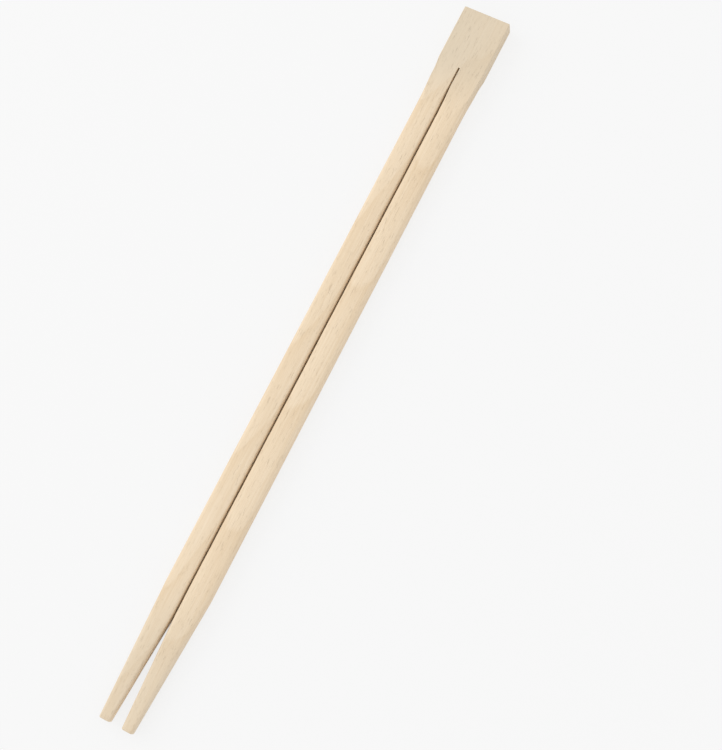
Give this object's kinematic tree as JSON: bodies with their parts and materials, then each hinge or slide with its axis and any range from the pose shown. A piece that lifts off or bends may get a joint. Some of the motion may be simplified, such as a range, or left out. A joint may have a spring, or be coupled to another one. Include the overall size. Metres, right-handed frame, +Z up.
{
  "type": "joined pair of wooden chopsticks",
  "caption": "Disposable wooden chopsticks sawn from one bar and still joined at the square head; they are pulled apart at the slot and used for eating.",
  "frame": {"origin": "centre of the pair's bounding box at its underside, where it lies on the table", "axes": "+X along the sticks towards the joined head, +Y across the two sticks, +Z up out of the broad face"},
  "size_m": [0.21, 0.0134, 0.0048],
  "materials": {
    "wood": "planed, unvarnished pale wood"
  },
  "bodies": {
    "root": {"joined_chopsticks": "wood"}
  },
  "joints": []
}
